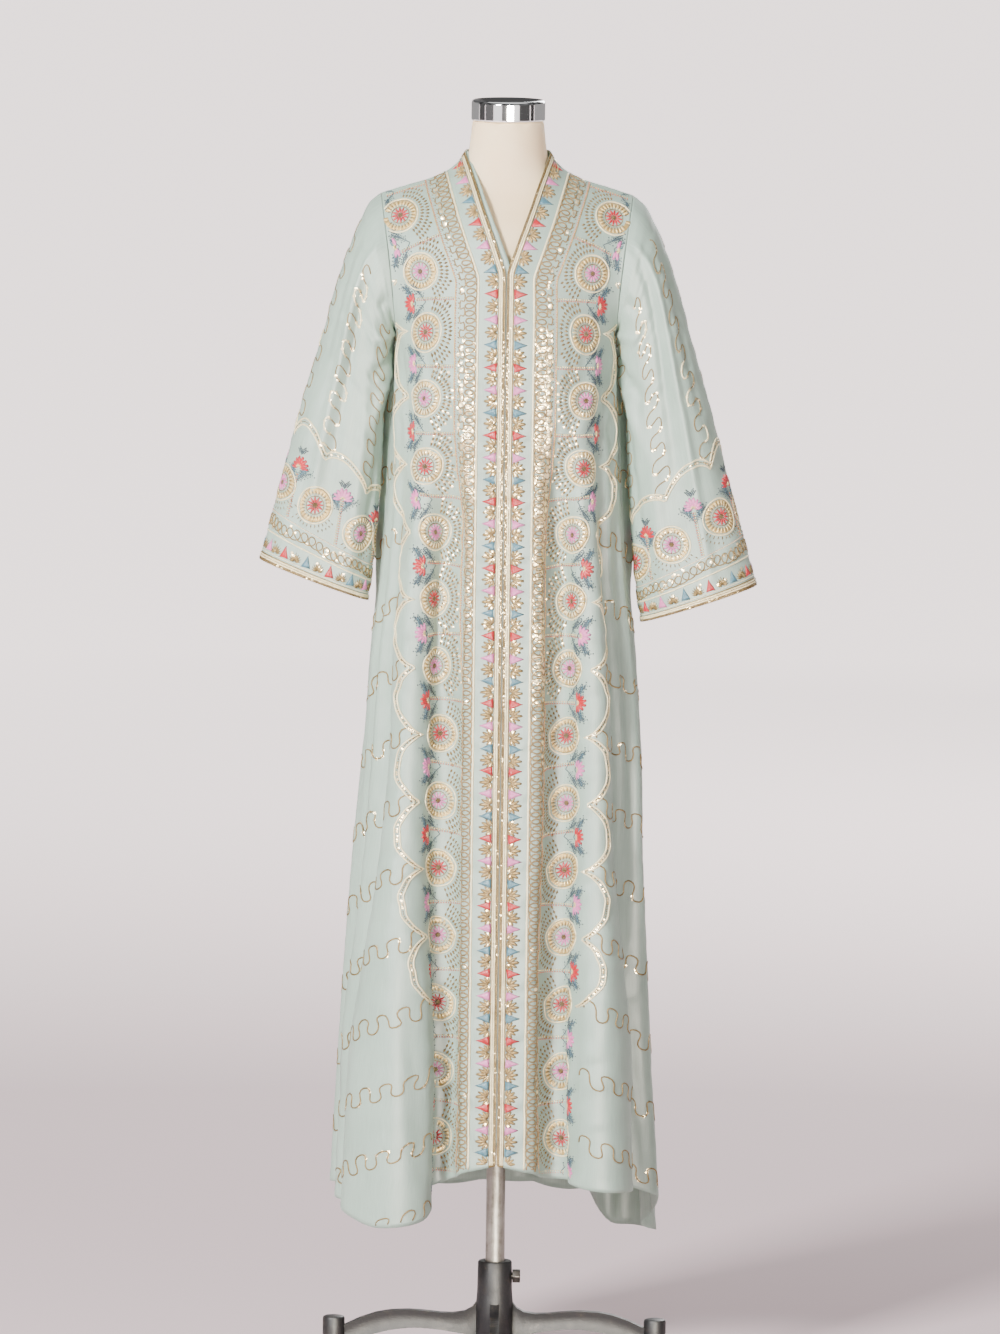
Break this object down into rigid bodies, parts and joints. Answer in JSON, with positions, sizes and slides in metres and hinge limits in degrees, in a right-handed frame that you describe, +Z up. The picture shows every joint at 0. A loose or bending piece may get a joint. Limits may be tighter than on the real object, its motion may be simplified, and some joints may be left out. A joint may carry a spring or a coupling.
{
  "type": "abaya on a dress form",
  "caption": "Long open-front abaya with wide set-in sleeves, braided edges and embroidered borders, on a limbless dress form with a pole and cast-iron legged base.",
  "frame": {"origin": "on the floor under the pole's axis, in the middle of the four feet", "axes": "+Z up along the pole, the garment's open front towards -Y, +X to the right of someone who faces that front"},
  "size_m": [0.6706, 0.469, 1.723],
  "materials": {
    "cloth": "satin weave",
    "braid": "metallic braid",
    "form": "matte",
    "chrome": "polished",
    "steel": "worn",
    "iron": "dark paint"
  },
  "bodies": {
    "stand": {"stand_base": "iron"},
    "pole": {"pole": "steel"},
    "figure": {"front_left": "cloth", "front_right": "cloth", "back": "cloth", "sleeve_left": "cloth", "sleeve_right": "cloth", "front_underlap": "cloth", "front_braid_left": "braid", "front_braid_right": "braid", "neck_braid": "braid", "cuff_braid_left": "braid", "cuff_braid_right": "braid", "form_torso": "form", "neck_cap": "chrome"},
    "screw": {"clamp_screw": "steel"}
  },
  "joints": [
    {"name": "pole_lift", "type": "slide", "parent": "stand", "child": "pole", "axis": [0, 0, 1], "range_m": [-0.05, 0.055]},
    {"name": "form_turn", "type": "hinge", "parent": "pole", "child": "figure", "pos_m": [0, 0, 0.93], "axis": [0, 0, 1], "continuous": true},
    {"name": "screw_turn", "type": "hinge", "parent": "stand", "child": "screw", "pos_m": [0.02, 0, 0.127], "axis": [1, 0, 0], "continuous": true}
  ]
}
